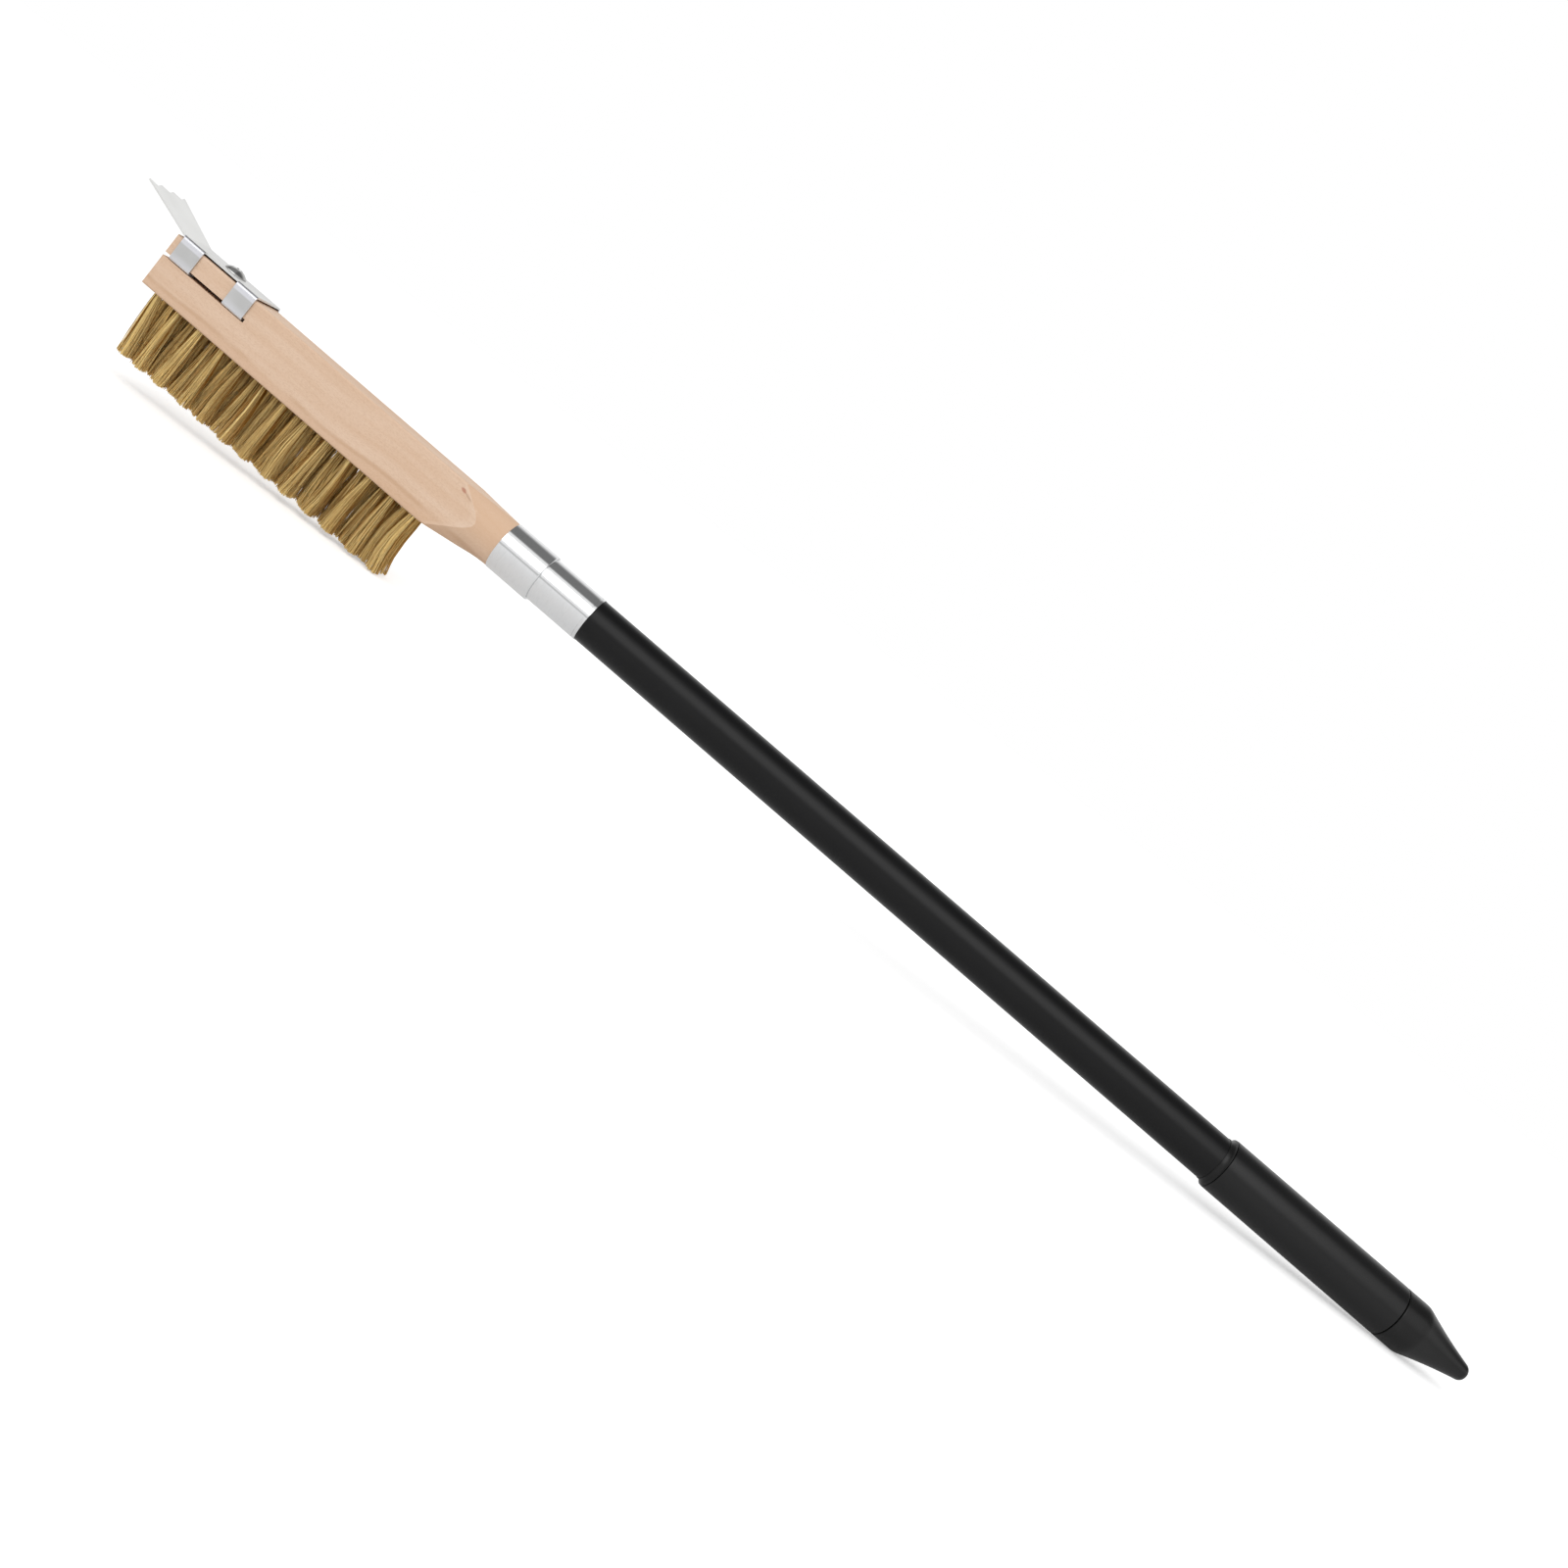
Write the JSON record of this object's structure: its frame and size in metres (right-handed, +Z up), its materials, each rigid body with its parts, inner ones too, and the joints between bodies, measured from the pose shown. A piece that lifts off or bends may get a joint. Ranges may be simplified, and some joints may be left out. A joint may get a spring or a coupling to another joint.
{
  "type": "pizza oven brush",
  "caption": "Long-handled oven brush: square wooden head with brass wire tufts, folded steel scraper with a notched blade, and a round black handle with a soft grip.",
  "frame": {"origin": "centre of the footprint on the floor, at the lowest bristle tips and the underside of the end cap", "axes": "+X along the brush from the scraper blade to the end cap, +Y across the head, +Z up; the brush lies on its bristles and its cap, so the handle slopes down along +X by 3.533 degrees"},
  "size_m": [0.8992, 0.0434, 0.0948],
  "materials": {
    "head_wood": "sanded, unvarnished beech",
    "brass_wire": "fine drawn wire",
    "anchor_wire": "flat drawn wire",
    "scraper_steel": "rolled stainless sheet",
    "screw_steel": "bright zinc plated",
    "bare_aluminium": "turned and polished",
    "black_coat": "satin black coating",
    "black_moulding": "matte black moulding",
    "black_grip": "matte black soft sleeve"
  },
  "bodies": {
    "root": {"wooden_head": "head_wood", "bristle_row_1": "brass_wire", "bristle_row_2": "brass_wire", "bristle_row_3": "brass_wire", "bristle_row_4": "brass_wire", "anchor_row_1": "anchor_wire", "anchor_row_2": "anchor_wire", "anchor_row_3": "anchor_wire", "anchor_row_4": "anchor_wire", "scraper": "scraper_steel", "scraper_screw": "screw_steel", "head_ferrule": "bare_aluminium", "handle_coupling": "bare_aluminium", "handle_tube": "black_coat", "grip_collar": "black_moulding", "grip_sleeve": "black_grip", "end_cap": "black_moulding"}
  },
  "joints": []
}
